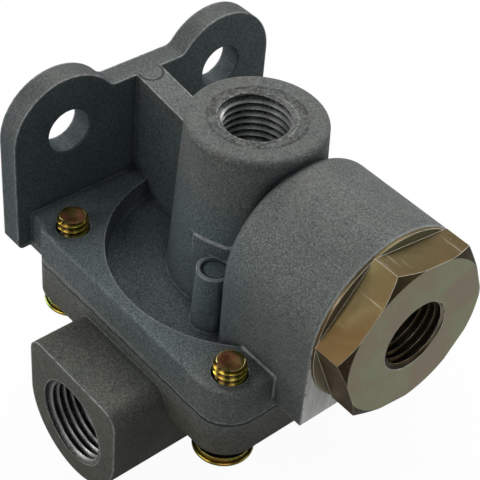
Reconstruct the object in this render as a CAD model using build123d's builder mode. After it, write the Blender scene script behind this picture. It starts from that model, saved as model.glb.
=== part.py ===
import os
from math import asin, cos, radians, sin, tan

from build123d import *

# Quick release valve with a double check valve in its body, all sizes in millimetres.
# The origin lies on the bracket's mounting face, midway between its two bolt holes.
# X runs out of the mounting face towards the cap nut, Y along the bolt holes, Z up the balance boss.

# Tolerance for picking an edge by its place or radius
pick_tolerance = 0.01

# Bracket plate
bolt_spacing = 35.1
bolt_hole_radius = 4.3
bolt_hole_edge = 0.4
ear_radius = 11.4
plate_half = 29.2
plate_thickness = 4.6
plate_corner = 1.2
plate_lift = 0.5
hole_height = 15.1
dip_height = 21.35
dip_fillet = 2.2
plate_to_axis = 29.4

# Square flange of the body
flange_half = 27.4
flange_thickness = 8.0
flange_corner = 6.5
flange_edge = 0.9
neck_half = 26.3
neck_length = 3.2
neck_step = 1.6
recess_radius = 25.2
recess_depth = 4.0
recess_draft = 6.0
recess_fillet = 0.8

# Web between the plate and the balance boss
web_thickness = 5.4
web_draft = 0.8
web_drop = 2.4

# Balance boss and its inlet
boss_height = 29.0
boss_radius = 12.3
boss_draft = 2.9
boss_rim = 1.0
ledge_radius = 13.55
ledge_start = 1.0

# Check-valve drum, along X
drum_radius = 16.7
drum_height = 10.7
drum_back = 11.4
drum_face = 34.2
drum_shoulder = 2.8
drum_foot = 2.1

# Ejector-pin columns beside the boss
column_radius = 3.3
column_x = 7.8
column_y = 14.0
column_height = 8.0
column_draft = 2.0
column_mark_radius = 2.3
column_mark_depth = 0.3

# Pipe threads, shown as plain bores at the thread's major radius
quarter_pipe_radius = 6.8
three_eighths_pipe_radius = 8.4
quarter_pipe_depth = 12.0
three_eighths_pipe_depth = 13.5
passage_radius = 4.5

# Double check valve
chamber_radius = 12.0
chamber_end = 12.0
cap_thread_radius = 12.5
cap_thread_clearance = 0.1
cap_thread_length = 10.2
mouth_radius = 14.0
mouth_depth = 2.3
cap_neck_radius = 11.6
collar_radius = 16.5
collar_thickness = 0.6
hex_across_flats = 29.2
hex_thickness = 6.1
hex_turn = -8.4
hex_face_radius = 14.9
hex_chamfer_angle = 30.0
hex_chamfer_overrun = 1.0
seat_lip_radius = 6.0
supply_lip_length = 1.8
guide_clearance = 0.2
guide_base_length = 3.4
guide_groove_start = 0.9
guide_groove_width = 1.9
guide_groove_depth = 1.75
balance_lip_height = 0.6
finger_count = 6
finger_inner_radius = 8.4
finger_outer_radius = 10.6
finger_width = 3.6
disc_radius = 8.0
disc_thickness = 3.0
disc_edge = 0.5
seat_clearance = 0.3

# Quick release diaphragm and its spring
ceiling_height = 1.8
ceiling_seat_radius = 19.1
ceiling_seat_width = 1.0
ceiling_seat_step = 0.3
body_chamber_radius = 21.2
diaphragm_radius = 20.3
diaphragm_hub_radius = 9.0
diaphragm_thickness = 2.8
diaphragm_rim_thickness = 1.7
diaphragm_rim_drop = 0.2
diaphragm_hole_radius = 2.1
stem_radius = 2.0
stem_length = 1.6
seat_plate_radius = 5.8
seat_plate_thickness = 1.4
spring_pilot_radius = 3.6
spring_pilot_height = 1.8
spring_pocket_radius = 6.6
spring_pocket_height = 9.4
spring_radius = 4.7
spring_wire_radius = 0.45
spring_turns = 4.0
stem_ring_section = 0.6
stem_ring_pocket_radius = 3.4
outlet_radius = 2.5
outlet_x = 15.9

# Lower cover
cover_thickness = 8.3
cover_back_corner = 4.0
cover_edge = 1.2
cavity_depth = 5.8
exhaust_seat_drop = 4.6
exhaust_tube_radius = 9.2
exhaust_tube_bore = 6.2
exhaust_lip_width = 1.0
annulus_radius = 15.5
annulus_depth = 20.5
hub_radius = 18.6
hub_depth = 23.0
hub_draft = 2.0
hub_edge = 2.0
delivery_face = 38.2
delivery_drop = 22.3
delivery_half_width = 12.4
delivery_top_drop = 10.4
delivery_top_corner = 3.0
delivery_passage_radius = 5.5
exhaust_boss_radius = 12.2
exhaust_boss_depth = 37.5
exhaust_mouth_radius = 8.0
exhaust_mouth_depth = 7.0
seal_radius = 23.5
seal_section = 1.05
seal_groove_width = 2.3
seal_groove_depth = 2.2
cap_ring_clearance = 0.05
guide_ring_clearance = 0.03

# Cover screws and lock washers
screw_offset = 22.1
screw_radius = 3.05
screw_tip_height = 2.7
screw_tip_chamfer = 0.7
tapped_hole_radius = 3.15
clearance_hole_radius = 3.45
head_radius = 5.4
head_height = 3.1
head_side = 0.5
head_cross_width = 1.2
head_cross_length = 5.6
head_cross_depth = 1.6
washer_radius = 5.0
washer_bore = 3.4
washer_thickness = 1.0
washer_split = 0.9
washer_split_turn = 25.0

# Places that follow from the sizes
axis_x = plate_thickness + plate_to_axis
top_z = -hole_height
seam_z = top_z - flange_thickness
floor_z = top_z - recess_depth
boss_top_z = top_z + boss_height
drum_z = top_z + drum_height
drum_foot_z = seam_z + drum_foot
drum_back_x = axis_x + drum_back
drum_face_x = axis_x + drum_face
front_x = axis_x + flange_half
pocket_z = seam_z + spring_pocket_height
delivery_z = top_z - delivery_drop
exhaust_seat_z = seam_z - exhaust_seat_drop
cover_bottom_z = seam_z - cover_thickness
exhaust_bottom_z = top_z - exhaust_boss_depth
chamber_end_x = axis_x + chamber_end
cap_end_x = drum_face_x - cap_thread_length
collar_x = drum_face_x + collar_thickness
cap_face_x = collar_x + hex_thickness
supply_seat_x = cap_end_x - supply_lip_length
guide_radius = chamber_radius - guide_clearance
guide_face_x = chamber_end_x + guide_base_length
balance_seat_x = guide_face_x + balance_lip_height
disc_x = balance_seat_x + seat_clearance
diaphragm_top_z = exhaust_seat_z + diaphragm_thickness
seat_plate_z = diaphragm_top_z + seat_plate_thickness
washer_z = cover_bottom_z - washer_thickness
screw_places = [
    (axis_x + side_x * screw_offset, side_y * screw_offset)
    for side_x in (1, -1)
    for side_y in (-1, 1)
]

os.makedirs("parts", exist_ok=True)


def save(piece, name):
    """Label one finished piece and write it to its own file."""
    piece.part.label = name
    export_step(piece.part, f"parts/{name}.step")


# Drum of the check valve: a cylinder along X that stands on straight side walls.
# In front of the flange the walls end a little above the joint face.
with BuildPart() as drum_form:
    with BuildSketch(Plane.YZ.offset(drum_back_x)):
        with Locations((0, drum_z)):
            Circle(drum_radius)
        with Locations((0, (drum_z + drum_foot_z) / 2)):
            Rectangle(2 * drum_radius, drum_z - drum_foot_z)
    extrude(amount=drum_face_x - drum_back_x)
    back_edges = edges().group_by(Axis.X)[0]
    fillet(back_edges.filter_by(lambda edge: edge.center().Z > drum_foot_z + pick_tolerance), drum_shoulder)

# Web: a drafted rib from the plate to the boss, its top sloping down towards the boss.
web_slope_start = (plate_thickness, top_z + dip_height)
web_slope_end = (axis_x - boss_radius, top_z + dip_height - web_drop)
with BuildPart() as web_form:
    with BuildSketch(Plane.XZ):
        with BuildLine():
            Polyline(
                (plate_thickness / 2, floor_z - recess_fillet),
                (axis_x, floor_z - recess_fillet),
                (axis_x, web_slope_end[1]),
                web_slope_end,
                web_slope_start,
                (plate_thickness / 2, web_slope_start[1]),
                close=True,
            )
        make_face()
    extrude(amount=web_thickness / 2 + recess_depth * tan(radians(web_draft)), both=True)
    web_height = web_slope_start[1] - floor_z
    for side in (1, -1):
        cheek_plane = Plane(
            origin=(0, side * web_thickness / 2, web_slope_start[1]),
            x_dir=(1, 0, 0),
            z_dir=(0, side * cos(radians(web_draft)), sin(radians(web_draft))),
        )
        split(bisect_by=cheek_plane, keep=Keep.BOTTOM)

# Upper casting in one piece.
with BuildPart() as valve_body:
    # Square flange with its neck running back into the bracket plate
    neck_end_x = plate_thickness + neck_length
    with BuildSketch(Plane.XY.offset(seam_z)):
        with BuildLine():
            Polyline(
                (plate_thickness / 2, -neck_half),
                (neck_end_x, -neck_half),
                (neck_end_x + neck_step, -flange_half),
                (front_x, -flange_half),
                (front_x, flange_half),
                (neck_end_x + neck_step, flange_half),
                (neck_end_x, neck_half),
                (plate_thickness / 2, neck_half),
                close=True,
            )
        make_face()
        fillet(vertices().group_by(Axis.X)[-1], flange_corner)
    extrude(amount=flange_thickness)
    top_edges = edges().group_by(Axis.Z)[-1]
    fillet(top_edges.filter_by(lambda edge: edge.center().X > plate_thickness), flange_edge)
    # Round recess in the flange's top
    with BuildSketch(Plane.XY.offset(top_z)):
        with Locations((axis_x, 0)):
            Circle(recess_radius)
    extrude(amount=-recess_depth, taper=recess_draft, mode=Mode.SUBTRACT)
    round_edges = edges().filter_by(GeomType.CIRCLE)
    fillet(round_edges.filter_by(lambda edge: abs(edge.center().Z - floor_z) < pick_tolerance), recess_fillet)
    # Bracket plate with two round ears and a dip between them
    with BuildSketch(Plane.YZ):
        ear_y = plate_half - ear_radius
        with Locations((-ear_y, 0), (ear_y, 0)):
            Circle(ear_radius)
        plate_bottom_z = seam_z + plate_lift
        with Locations((0, plate_bottom_z / 2)):
            Rectangle(2 * plate_half, -plate_bottom_z)
        dip_z = top_z + dip_height
        with Locations((0, dip_z / 2)):
            Rectangle(bolt_spacing, dip_z)
        fillet(vertices().group_by(Axis.Y)[0], plate_corner)
        fillet(vertices().group_by(Axis.Y)[-1], dip_fillet)
        with Locations((-bolt_spacing / 2, 0), (bolt_spacing / 2, 0)):
            Circle(bolt_hole_radius, mode=Mode.SUBTRACT)
    extrude(amount=plate_thickness)
    round_edges = edges().filter_by(GeomType.CIRCLE)
    hole_edges = round_edges.filter_by(lambda edge: abs(edge.radius - bolt_hole_radius) < pick_tolerance)
    fillet(hole_edges.filter_by(lambda edge: edge.center().X > plate_thickness / 2), bolt_hole_edge)
    # Web, drum and balance boss
    add(web_form.part)
    add(drum_form.part)
    with BuildSketch(Plane.XY.offset(floor_z)):
        with Locations((axis_x, 0)):
            Circle(boss_radius + (boss_height + recess_depth) * tan(radians(boss_draft)))
    extrude(amount=boss_height + recess_depth, taper=boss_draft)
    rim = edges().filter_by(GeomType.CIRCLE).group_by(Axis.Z)[-1]
    fillet(rim, boss_rim)
    # Foot of the boss towards the drum, with a ledge at the height of the drum's axis
    with BuildSketch(Plane.XY.offset(floor_z)):
        with Locations((axis_x, 0)):
            Circle(ledge_radius)
        with Locations((axis_x + ledge_start + ledge_radius, 0)):
            Rectangle(2 * ledge_radius, 2 * ledge_radius, mode=Mode.INTERSECT)
    extrude(amount=drum_z - floor_z)
    # Ejector-pin columns in the corners between the boss and the drum
    column_base = column_radius + (column_height + recess_depth) * tan(radians(column_draft))
    with BuildSketch(Plane.XY.offset(floor_z)):
        for side in (1, -1):
            with Locations((axis_x + column_x, side * column_y)):
                Circle(column_base)
            with Locations((axis_x + column_x + column_base, side * column_y)):
                Rectangle(2 * column_base, 2 * column_base)
    extrude(amount=column_height + recess_depth, taper=column_draft)
    with BuildSketch(Plane.XY.offset(top_z + column_height)):
        with Locations((axis_x + column_x, -column_y), (axis_x + column_x, column_y)):
            Circle(column_mark_radius)
    extrude(amount=-column_mark_depth, mode=Mode.SUBTRACT)
    # Balance port and its passage down to the drum's axis
    with Locations(Plane.XY.offset(boss_top_z)):
        with Locations((axis_x, 0)):
            Hole(passage_radius, depth=boss_height - drum_height)
            Hole(quarter_pipe_radius, depth=quarter_pipe_depth)
    # Drum bore: mouth for the seal ring, cap nut thread, check chamber, passage to the balance port
    for bore_radius, bore_end_x in (
        (mouth_radius, drum_face_x - mouth_depth),
        (cap_thread_radius, cap_end_x),
        (chamber_radius, chamber_end_x),
        (passage_radius, axis_x),
    ):
        with BuildSketch(Plane.YZ.offset(drum_face_x)):
            with Locations((0, drum_z)):
                Circle(bore_radius)
        extrude(amount=bore_end_x - drum_face_x, mode=Mode.SUBTRACT)
    # Chamber over the diaphragm, with the ceiling seat left standing
    with BuildSketch(Plane.XY.offset(seam_z)):
        with Locations((axis_x, 0)):
            Circle(body_chamber_radius)
            Circle(ceiling_seat_radius + ceiling_seat_width / 2, mode=Mode.SUBTRACT)
            Circle(ceiling_seat_radius - ceiling_seat_width / 2)
    extrude(amount=ceiling_height, mode=Mode.SUBTRACT)
    with BuildSketch(Plane.XY.offset(seam_z)):
        with Locations((axis_x, 0)):
            Circle(body_chamber_radius)
    extrude(amount=ceiling_seat_step, mode=Mode.SUBTRACT)
    # Spring pocket, outlet of the check valve and tapped holes for the cover screws
    for hole_place, hole_radius, hole_top_z in [
        ((axis_x, 0), spring_pocket_radius, pocket_z),
        ((axis_x + outlet_x, 0), outlet_radius, drum_z),
    ] + [(place, tapped_hole_radius, top_z) for place in screw_places]:
        with BuildSketch(Plane.XY.offset(seam_z)):
            with Locations(hole_place):
                Circle(hole_radius)
        extrude(amount=hole_top_z - seam_z, mode=Mode.SUBTRACT)
save(valve_body, "valve_body")

# Lower casting: square flange, hub, two delivery ports on one line and the exhaust port.
with BuildPart() as lower_cover:
    with BuildSketch(Plane.XY.offset(seam_z)):
        with Locations((axis_x, 0)):
            Rectangle(2 * flange_half, 2 * flange_half)
        fillet(vertices().group_by(Axis.X)[-1], flange_corner)
        fillet(vertices().group_by(Axis.X)[0], cover_back_corner)
    extrude(amount=-cover_thickness)
    fillet(edges().group_by(Axis.Z)[0], cover_edge)
    with BuildSketch(Plane.XY.offset(seam_z - cavity_depth)):
        with Locations((axis_x, 0)):
            Circle(hub_radius)
    extrude(amount=-(hub_depth - cavity_depth), taper=hub_draft)
    fillet(edges().group_by(Axis.Z)[0], hub_edge)
    with BuildSketch(Plane.XY.offset(exhaust_bottom_z)):
        with Locations((axis_x, 0)):
            Circle(exhaust_boss_radius)
    extrude(amount=delivery_z - exhaust_bottom_z)
    # Delivery bosses: flat top with rounded corners, straight sides, round bottom
    with BuildSketch(Plane.XZ):
        with BuildLine():
            delivery_top_z = top_z - delivery_top_drop
            boss_back_x = axis_x - delivery_half_width
            boss_front_x = axis_x + delivery_half_width
            Line((boss_back_x, delivery_z), (boss_back_x, delivery_top_z))
            Line((boss_back_x, delivery_top_z), (boss_front_x, delivery_top_z))
            Line((boss_front_x, delivery_top_z), (boss_front_x, delivery_z))
            ThreePointArc(
                (boss_front_x, delivery_z),
                (axis_x, delivery_z - delivery_half_width),
                (boss_back_x, delivery_z),
            )
        make_face()
        fillet(vertices().group_by(Axis.Y)[-1], delivery_top_corner)
    extrude(amount=delivery_face, both=True)
    # Cavity under the diaphragm and the annulus round the exhaust tube
    with BuildSketch(Plane.XY.offset(seam_z)):
        with Locations((axis_x, 0)):
            Circle(body_chamber_radius)
            Circle(exhaust_tube_radius, mode=Mode.SUBTRACT)
    extrude(amount=-cavity_depth, mode=Mode.SUBTRACT)
    with BuildSketch(Plane.XY.offset(seam_z)):
        with Locations((axis_x, 0)):
            Circle(annulus_radius)
            Circle(exhaust_tube_radius, mode=Mode.SUBTRACT)
    extrude(amount=-annulus_depth, mode=Mode.SUBTRACT)
    # Exhaust tube cut down to its seat, with a narrow lip round the bore
    with BuildSketch(Plane.XY.offset(seam_z)):
        with Locations((axis_x, 0)):
            Circle(exhaust_tube_radius + seal_section)
    extrude(amount=-exhaust_seat_drop, mode=Mode.SUBTRACT)
    with BuildSketch(Plane.XY.offset(exhaust_seat_z)):
        with Locations((axis_x, 0)):
            Circle(exhaust_tube_radius + seal_section)
            Circle(exhaust_tube_bore + exhaust_lip_width, mode=Mode.SUBTRACT)
    extrude(amount=-seat_clearance, mode=Mode.SUBTRACT)
    with BuildSketch(Plane.XY.offset(exhaust_bottom_z)):
        with Locations((axis_x, 0)):
            Circle(exhaust_tube_bore)
    extrude(amount=exhaust_seat_z - exhaust_bottom_z, mode=Mode.SUBTRACT)
    with BuildSketch(Plane.XY.offset(exhaust_bottom_z)):
        with Locations((axis_x, 0)):
            Circle(exhaust_mouth_radius)
    extrude(amount=exhaust_mouth_depth, mode=Mode.SUBTRACT)
    # Delivery ports and their passages into the annulus
    for side in (1, -1):
        port_centre = (axis_x, side * delivery_face, delivery_z)
        port_plane = Plane(origin=port_centre, x_dir=(1, 0, 0), z_dir=(0, side, 0))
        for bore_radius, bore_depth in (
            (three_eighths_pipe_radius, three_eighths_pipe_depth),
            (delivery_passage_radius, delivery_face - (exhaust_tube_radius + annulus_radius) / 2),
        ):
            with BuildSketch(port_plane):
                Circle(bore_radius)
            extrude(amount=-bore_depth, mode=Mode.SUBTRACT)
    # Groove for the seal ring and clearance holes for the screws
    with BuildSketch(Plane.XY.offset(seam_z)):
        with Locations((axis_x, 0)):
            Circle(seal_radius + seal_groove_width / 2)
            Circle(seal_radius - seal_groove_width / 2, mode=Mode.SUBTRACT)
    extrude(amount=-seal_groove_depth, mode=Mode.SUBTRACT)
    with BuildSketch(Plane.XY.offset(seam_z)):
        with Locations(*screw_places):
            Circle(clearance_hole_radius)
    extrude(amount=-cover_thickness, mode=Mode.SUBTRACT)
save(lower_cover, "lower_cover")

# Cap nut: collar, hexagon chamfered in front, threaded spigot, neck for the seal ring, seat lip.
with BuildPart() as cap_nut:
    with BuildSketch(Plane.YZ.offset(drum_face_x)):
        with Locations((0, drum_z)):
            Circle(collar_radius)
    extrude(amount=collar_thickness)
    with BuildSketch(Plane.YZ.offset(collar_x)):
        with Locations((0, drum_z)):
            RegularPolygon(hex_across_flats / 2, 6, major_radius=False, rotation=hex_turn)
    extrude(amount=hex_thickness)
    hex_corner_radius = hex_across_flats / 2 / cos(radians(30))
    hex_chamfer_radius = hex_corner_radius + hex_chamfer_overrun
    chamfer_length = (hex_chamfer_radius - hex_face_radius) * tan(radians(hex_chamfer_angle))
    with BuildSketch(Plane.XZ):
        with BuildLine():
            Polyline(
                (cap_face_x, drum_z + hex_face_radius),
                (cap_face_x, drum_z + hex_chamfer_radius),
                (cap_face_x - chamfer_length, drum_z + hex_chamfer_radius),
                close=True,
            )
        make_face()
    revolve(axis=Axis((0, 0, drum_z), (1, 0, 0)), mode=Mode.SUBTRACT)
    for spigot_radius, spigot_start_x, spigot_end_x in (
        (cap_neck_radius, drum_face_x - mouth_depth, drum_face_x),
        (cap_thread_radius - cap_thread_clearance, cap_end_x, drum_face_x - mouth_depth),
        (seat_lip_radius, supply_seat_x, cap_end_x),
    ):
        with BuildSketch(Plane.YZ.offset(spigot_start_x)):
            with Locations((0, drum_z)):
                Circle(spigot_radius)
        extrude(amount=spigot_end_x - spigot_start_x)
    for bore_radius, bore_end_x in (
        (quarter_pipe_radius, cap_face_x - quarter_pipe_depth),
        (passage_radius, supply_seat_x),
    ):
        with BuildSketch(Plane.YZ.offset(cap_face_x)):
            with Locations((0, drum_z)):
                Circle(bore_radius)
        extrude(amount=bore_end_x - cap_face_x, mode=Mode.SUBTRACT)
save(cap_nut, "cap_nut")

# Seal ring in the drum's mouth, round the cap nut's neck.
cap_ring_section = (mouth_radius - cap_neck_radius) / 2 - cap_ring_clearance
with BuildPart() as cap_nut_o_ring:
    with Locations(Location((drum_face_x - mouth_depth / 2, 0, drum_z), (0, 90, 0))):
        Torus((mouth_radius + cap_neck_radius) / 2, min(cap_ring_section, mouth_depth / 2))
save(cap_nut_o_ring, "cap_nut_o_ring")

# Check guide: base ring with the balance seat and six fingers that reach the cap nut.
with BuildPart() as check_guide:
    with BuildSketch(Plane.YZ.offset(chamber_end_x)):
        with Locations((0, drum_z)):
            Circle(guide_radius)
    extrude(amount=guide_base_length)
    with BuildSketch(Plane.YZ.offset(guide_face_x)):
        with Locations((0, drum_z)):
            Circle(seat_lip_radius)
    extrude(amount=balance_lip_height)
    with BuildSketch(Plane.YZ.offset(guide_face_x)):
        with Locations((0, drum_z)):
            with PolarLocations((finger_inner_radius + finger_outer_radius) / 2, finger_count):
                Rectangle(2 * finger_outer_radius - 2 * finger_inner_radius, finger_width)
            Circle(finger_outer_radius, mode=Mode.INTERSECT)
            Circle(finger_inner_radius, mode=Mode.SUBTRACT)
    extrude(amount=cap_end_x - guide_face_x)
    with BuildSketch(Plane.YZ.offset(chamber_end_x)):
        with Locations((0, drum_z)):
            Circle(passage_radius)
    extrude(amount=balance_seat_x - chamber_end_x, mode=Mode.SUBTRACT)
    with BuildSketch(Plane.YZ.offset(chamber_end_x + guide_groove_start)):
        with Locations((0, drum_z)):
            Circle(guide_radius)
            Circle(guide_radius - guide_groove_depth, mode=Mode.SUBTRACT)
    extrude(amount=guide_groove_width, mode=Mode.SUBTRACT)
save(check_guide, "check_guide")

# Seal ring in the guide's groove.
guide_ring_section = (guide_groove_depth + guide_clearance) / 2 - guide_ring_clearance
with BuildPart() as check_guide_o_ring:
    ring_x = chamber_end_x + guide_groove_start + guide_groove_width / 2
    with Locations(Location((ring_x, 0, drum_z), (0, 90, 0))):
        ring_middle_radius = chamber_radius - guide_ring_section - guide_ring_clearance
        Torus(ring_middle_radius, min(guide_ring_section, guide_groove_width / 2))
save(check_guide_o_ring, "check_guide_o_ring")

# Check disc, free between the two seats.
with BuildPart() as check_disc:
    with BuildSketch(Plane.YZ.offset(disc_x)):
        with Locations((0, drum_z)):
            Circle(disc_radius)
    extrude(amount=disc_thickness)
    fillet(edges().filter_by(GeomType.CIRCLE), disc_edge)
save(check_disc, "check_disc")

# Diaphragm: a thick hub on the exhaust seat and a thin rim under the ceiling seat.
with BuildPart() as release_diaphragm:
    with BuildSketch(Plane.XZ):
        rim_top_z = diaphragm_top_z - diaphragm_rim_drop
        rim_bottom_z = rim_top_z - diaphragm_rim_thickness
        hub_end_x = axis_x + diaphragm_hub_radius
        rim_end_x = axis_x + diaphragm_radius
        with BuildLine():
            Polyline(
                (axis_x + diaphragm_hole_radius, exhaust_seat_z),
                (hub_end_x, exhaust_seat_z),
                (hub_end_x + diaphragm_thickness / 2, rim_bottom_z),
                (rim_end_x, rim_bottom_z),
                (rim_end_x, rim_top_z),
                (hub_end_x, diaphragm_top_z),
                (axis_x + stem_ring_pocket_radius, diaphragm_top_z),
                (axis_x + stem_ring_pocket_radius, diaphragm_top_z - 2 * stem_ring_section),
                (axis_x + diaphragm_hole_radius, diaphragm_top_z - 2 * stem_ring_section),
                close=True,
            )
        make_face()
    revolve(axis=Axis((axis_x, 0, 0), (0, 0, 1)))
save(release_diaphragm, "release_diaphragm")

# Spring seat: stem through the diaphragm, plate under the spring, pilot inside the coils.
with BuildPart() as spring_seat:
    with BuildSketch(Plane.XY.offset(diaphragm_top_z)):
        with Locations((axis_x, 0)):
            Circle(seat_plate_radius)
    extrude(amount=seat_plate_thickness)
    with BuildSketch(Plane.XY.offset(seat_plate_z)):
        with Locations((axis_x, 0)):
            Circle(spring_pilot_radius)
    extrude(amount=spring_pilot_height)
    chamfer(edges().group_by(Axis.Z)[-1], spring_wire_radius)
    with BuildSketch(Plane.XY.offset(diaphragm_top_z)):
        with Locations((axis_x, 0)):
            Circle(stem_radius)
    extrude(amount=-(diaphragm_thickness + stem_length))
    chamfer(edges().group_by(Axis.Z)[0], spring_wire_radius)
save(spring_seat, "spring_seat")

# Seal ring round the stem, in the diaphragm's pocket.
with BuildPart() as spring_seat_o_ring:
    with Locations((axis_x, 0, diaphragm_top_z - stem_ring_section)):
        Torus((stem_radius + stem_ring_pocket_radius) / 2, stem_ring_section)
save(spring_seat_o_ring, "spring_seat_o_ring")

# Diaphragm spring, between the seat plate and the end of its pocket.
with BuildPart() as diaphragm_spring:
    spring_length = pocket_z - seat_plate_z - 2 * spring_wire_radius
    with BuildLine():
        coil = Helix(
            pitch=spring_length / spring_turns,
            height=spring_length,
            radius=spring_radius,
            center=(axis_x, 0, seat_plate_z + spring_wire_radius),
        )
    with BuildSketch(Plane(origin=coil @ 0, z_dir=coil % 0)):
        Circle(spring_wire_radius)
    sweep(path=coil, is_frenet=True)
save(diaphragm_spring, "diaphragm_spring")

# Seal ring between the castings.
with BuildPart() as cover_seal_ring:
    with Locations((axis_x, 0, seam_z - seal_groove_depth + seal_section)):
        Torus(seal_radius, seal_section)
save(cover_seal_ring, "cover_seal_ring")

# Four cover screws with domed heads and their lock washers, driven in from below.
dome_height = head_height - head_side
dome_radius = (head_radius**2 + dome_height**2) / (2 * dome_height)
dome_angle = asin(head_radius / dome_radius)
for number, (screw_x, screw_y) in enumerate(screw_places, start=1):
    with BuildPart() as cover_screw:
        with BuildSketch(Plane.XY.offset(washer_z)):
            with Locations((screw_x, screw_y)):
                Circle(screw_radius)
        extrude(amount=top_z + screw_tip_height - washer_z)
        chamfer(edges().group_by(Axis.Z)[-1], screw_tip_chamfer)
        with BuildSketch(Plane(origin=(screw_x, screw_y, washer_z), x_dir=(1, 0, 0), z_dir=(0, -1, 0))):
            with BuildLine():
                Polyline((0, -head_height), (0, 0), (head_radius, 0), (head_radius, -head_side))
                dome_middle_x = dome_radius * sin(dome_angle / 2)
                dome_middle_y = dome_radius - dome_radius * cos(dome_angle / 2) - head_height
                ThreePointArc((head_radius, -head_side), (dome_middle_x, dome_middle_y), (0, -head_height))
            make_face()
        revolve(axis=Axis((screw_x, screw_y, 0), (0, 0, 1)))
        with BuildSketch(Plane.XY.offset(washer_z - head_height)):
            with Locations((screw_x, screw_y)):
                Rectangle(head_cross_length, head_cross_width)
                Rectangle(head_cross_width, head_cross_length)
        extrude(amount=head_cross_depth, mode=Mode.SUBTRACT)
    save(cover_screw, f"cover_screw_{number}")

    with BuildPart() as lock_washer:
        with BuildSketch(Plane.XY.offset(washer_z)):
            with Locations((screw_x, screw_y)):
                Circle(washer_radius)
                Circle(washer_bore, mode=Mode.SUBTRACT)
        extrude(amount=washer_thickness)
        split_plane = Plane(
            origin=(screw_x, screw_y, washer_z + washer_thickness / 2),
            x_dir=(0, 0, 1),
            z_dir=(cos(radians(washer_split_turn)), sin(radians(washer_split_turn)), 0),
        )
        with BuildSketch(split_plane):
            with Locations(Rotation(0, 0, washer_split_turn)):
                Rectangle(3 * washer_thickness, washer_split)
        extrude(amount=washer_radius + washer_split, mode=Mode.SUBTRACT)
    save(lock_washer, f"lock_washer_{number}")
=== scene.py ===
import math

import bmesh
import bpy
from mathutils import Matrix, Vector


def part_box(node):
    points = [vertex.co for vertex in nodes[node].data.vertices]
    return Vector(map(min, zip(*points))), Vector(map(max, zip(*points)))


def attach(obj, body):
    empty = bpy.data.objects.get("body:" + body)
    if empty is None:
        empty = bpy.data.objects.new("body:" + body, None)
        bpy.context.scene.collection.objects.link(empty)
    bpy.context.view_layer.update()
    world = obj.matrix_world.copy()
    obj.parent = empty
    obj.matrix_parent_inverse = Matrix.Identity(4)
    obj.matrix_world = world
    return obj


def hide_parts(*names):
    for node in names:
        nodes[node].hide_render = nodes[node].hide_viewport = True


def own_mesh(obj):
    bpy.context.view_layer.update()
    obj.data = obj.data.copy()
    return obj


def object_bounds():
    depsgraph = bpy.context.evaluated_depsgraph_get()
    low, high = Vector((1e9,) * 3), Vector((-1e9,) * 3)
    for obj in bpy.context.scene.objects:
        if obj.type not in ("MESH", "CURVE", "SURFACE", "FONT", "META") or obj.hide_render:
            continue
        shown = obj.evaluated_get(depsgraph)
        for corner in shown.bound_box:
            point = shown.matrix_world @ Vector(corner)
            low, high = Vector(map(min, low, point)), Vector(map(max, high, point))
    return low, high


MM = 0.001

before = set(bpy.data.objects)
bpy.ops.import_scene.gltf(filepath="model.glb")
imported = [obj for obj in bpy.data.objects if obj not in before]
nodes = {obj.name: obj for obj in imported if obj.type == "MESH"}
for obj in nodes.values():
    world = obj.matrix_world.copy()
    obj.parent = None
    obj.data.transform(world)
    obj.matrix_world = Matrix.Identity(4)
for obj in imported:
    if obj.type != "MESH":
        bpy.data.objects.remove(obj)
cad_low, cad_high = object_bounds()

# Places in the row frame, in millimetres
AXIS_X = 34.0
SEAM_Z = -23.1
FLANGE_TOP_Z = -15.1
FLANGE_FRONT_X = 61.4
DRUM_SIDE_Y = 16.75
DRUM_Z = -4.4
DELIVERY_Z = -37.4
SCREW_PLACE = 22.1
THREAD_HEIGHT = 0.9
QUARTER_PIPE_RADIUS = 6.8
THREE_EIGHTHS_PIPE_RADIUS = 8.4
LEDGE_Z = -4.4
COLUMN_X, COLUMN_Y, COLUMN_TOP_Z = 41.8, 14.0, -7.1
BOSS_TOP_Z = 13.9
DELIVERY_FACE_Y = cad_high.y / MM


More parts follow.
